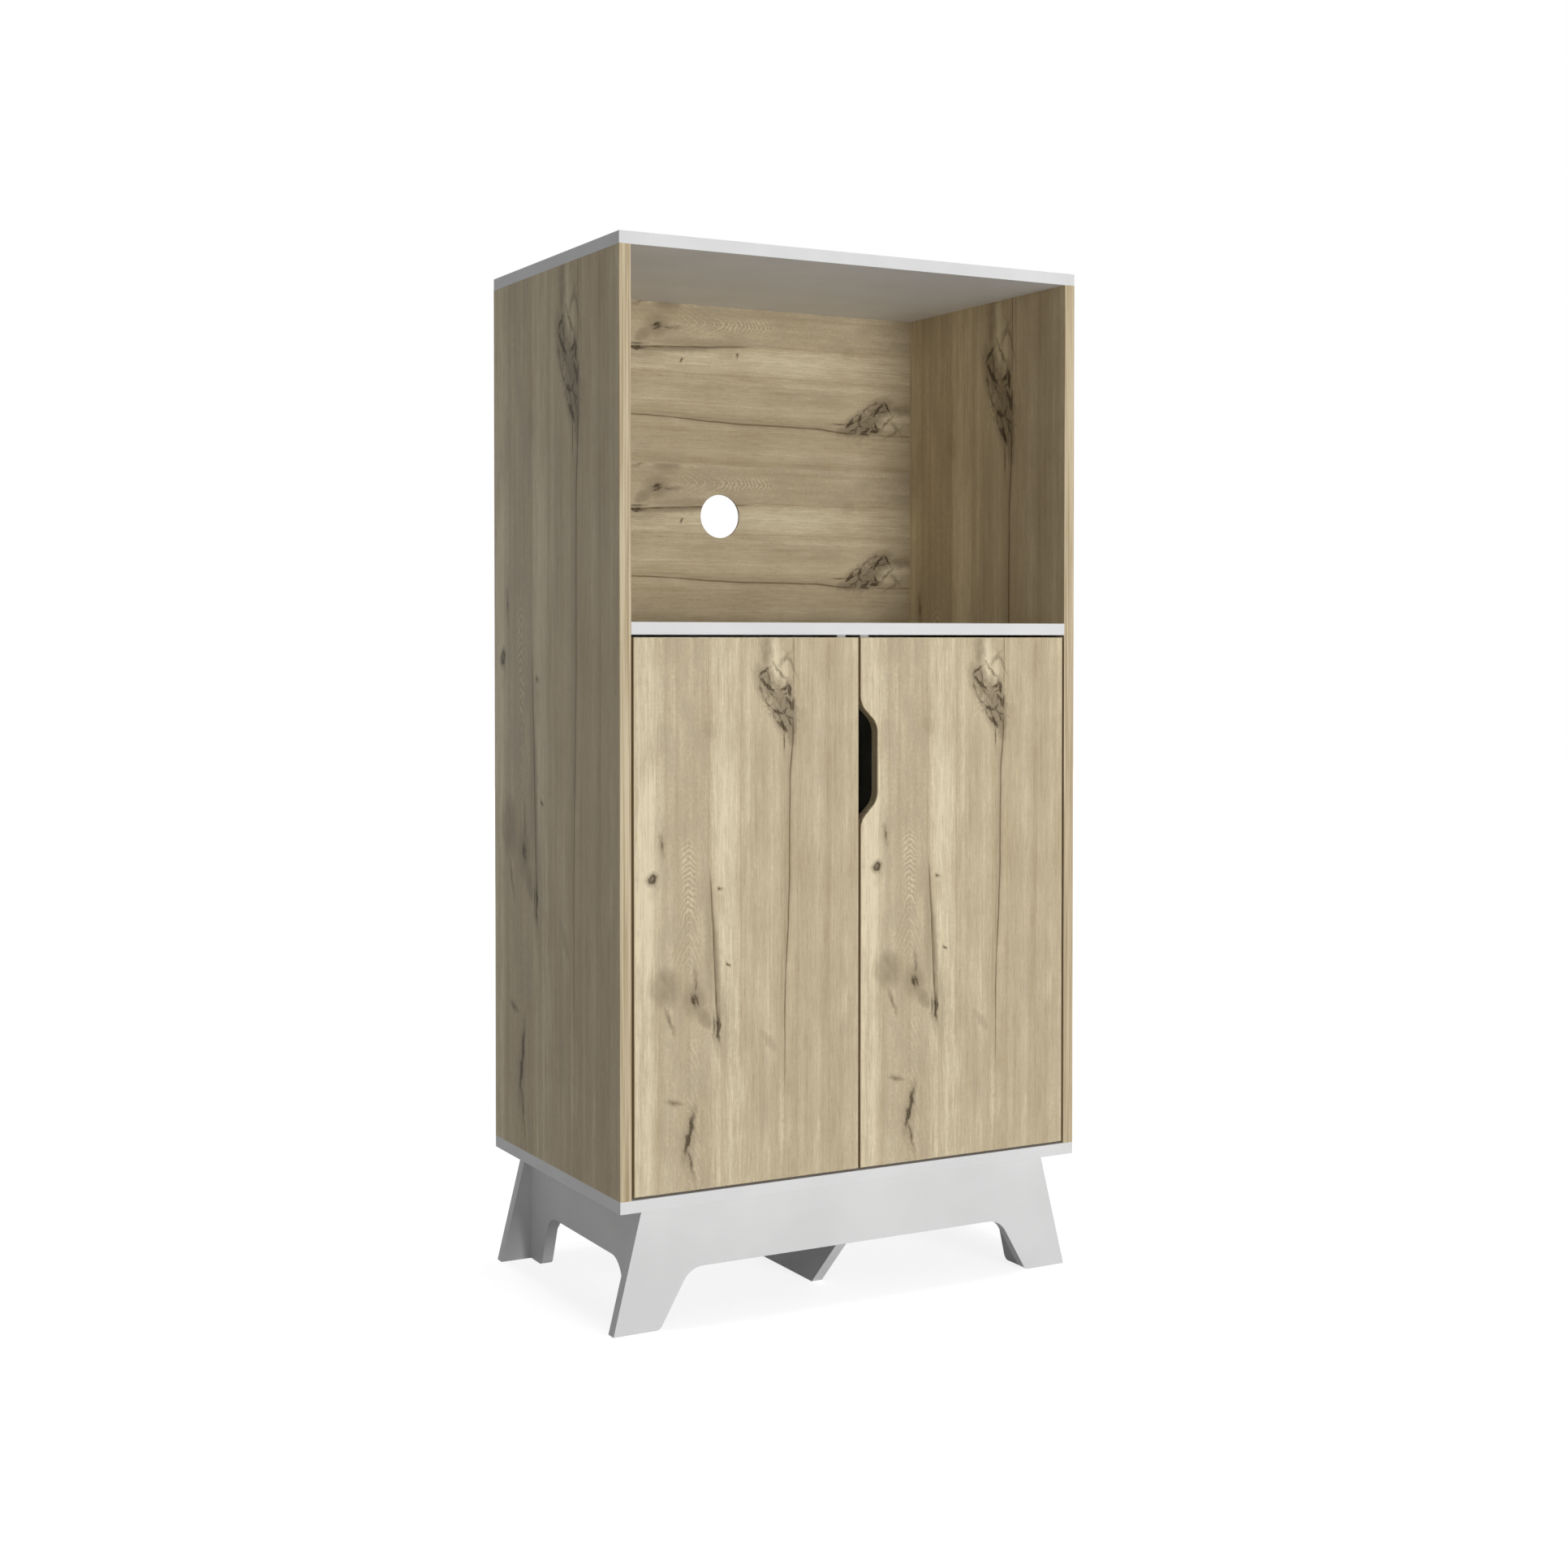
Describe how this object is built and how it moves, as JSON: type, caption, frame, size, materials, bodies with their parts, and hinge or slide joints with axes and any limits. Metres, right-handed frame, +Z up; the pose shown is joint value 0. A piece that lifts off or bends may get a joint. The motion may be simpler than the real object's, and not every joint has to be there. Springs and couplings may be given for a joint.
{
  "type": "microwave cabinet",
  "caption": "Tall oak and white cabinet with an open microwave niche, an inset double-door cupboard and a raised base with cut-out sides.",
  "frame": {"origin": "on the floor, below the middle of the cabinet", "axes": "+Z up, +X to the right seen from the front, the doors face -Y"},
  "size_m": [0.65, 0.4, 1.3],
  "materials": {
    "oak_board": "rustic oak decor on particle board, matt, long grain with cracks and knots",
    "oak_edging": "oak-coloured edge band, fine stripes along its length",
    "white_board": "plain white melamine on particle board, matt with a fine texture",
    "white_edging": "white edge band",
    "back_board": "thin fibreboard, painted white",
    "steel": "zinc-plated steel",
    "hinge_steel": "nickel-plated steel",
    "zinc": "die-cast zinc, stands in as steel",
    "dowel_wood": "plain beech",
    "grey_plastic": "moulded light grey plastic",
    "white_plastic": "moulded white plastic",
    "magnet": "dark ferrite"
  },
  "bodies": {
    "carcass": {"side_left": "oak_board", "side_right": "oak_board", "niche_back": "oak_board", "side_edging": "oak_edging", "top_panel": "white_board", "bottom_panel": "white_board", "fixed_shelf": "white_board", "inner_shelf": "white_board", "base_front": "white_board", "base_rear": "white_board", "base_side_left": "white_board", "base_side_right": "white_board", "base_centre": "white_board", "panel_edging": "white_edging", "lower_back": "back_board", "back_screws": "steel", "base_cam_bolts": "steel", "shelf_cam_bolts": "steel", "bracket_screws": "steel", "base_brackets": "steel", "carcass_screws": "steel", "catch_screws": "steel", "plate_screws": "steel", "arm_screws": "steel", "shelf_pins": "steel", "mounting_plates": "hinge_steel", "hinge_arms": "hinge_steel", "base_cam_locks": "zinc", "shelf_cam_locks": "zinc", "base_dowels": "dowel_wood", "carcass_dowels": "dowel_wood", "catch_housings": "grey_plastic", "screw_caps": "white_plastic", "catch_magnets": "magnet"},
    "door_left": {"door_left": "oak_board", "door_edging_left": "oak_edging", "hinge_cups_left": "hinge_steel", "hinge_pins_left": "hinge_steel", "cup_screws_left": "steel", "strike_plate_left": "steel", "strike_screw_left": "steel"},
    "door_right": {"door_right": "oak_board", "door_edging_right": "oak_edging", "hinge_cups_right": "hinge_steel", "hinge_pins_right": "hinge_steel", "cup_screws_right": "steel", "strike_plate_right": "steel", "strike_screw_right": "steel"}
  },
  "joints": [
    {"name": "left_door_hinge", "type": "hinge", "parent": "carcass", "child": "door_left", "pos_m": [-0.296, -0.1925, 0.4975], "axis": [0, 0, -1], "range_deg": [0, 95]},
    {"name": "right_door_hinge", "type": "hinge", "parent": "carcass", "child": "door_right", "pos_m": [0.296, -0.1925, 0.4975], "axis": [0, 0, 1], "range_deg": [0, 95]}
  ]
}
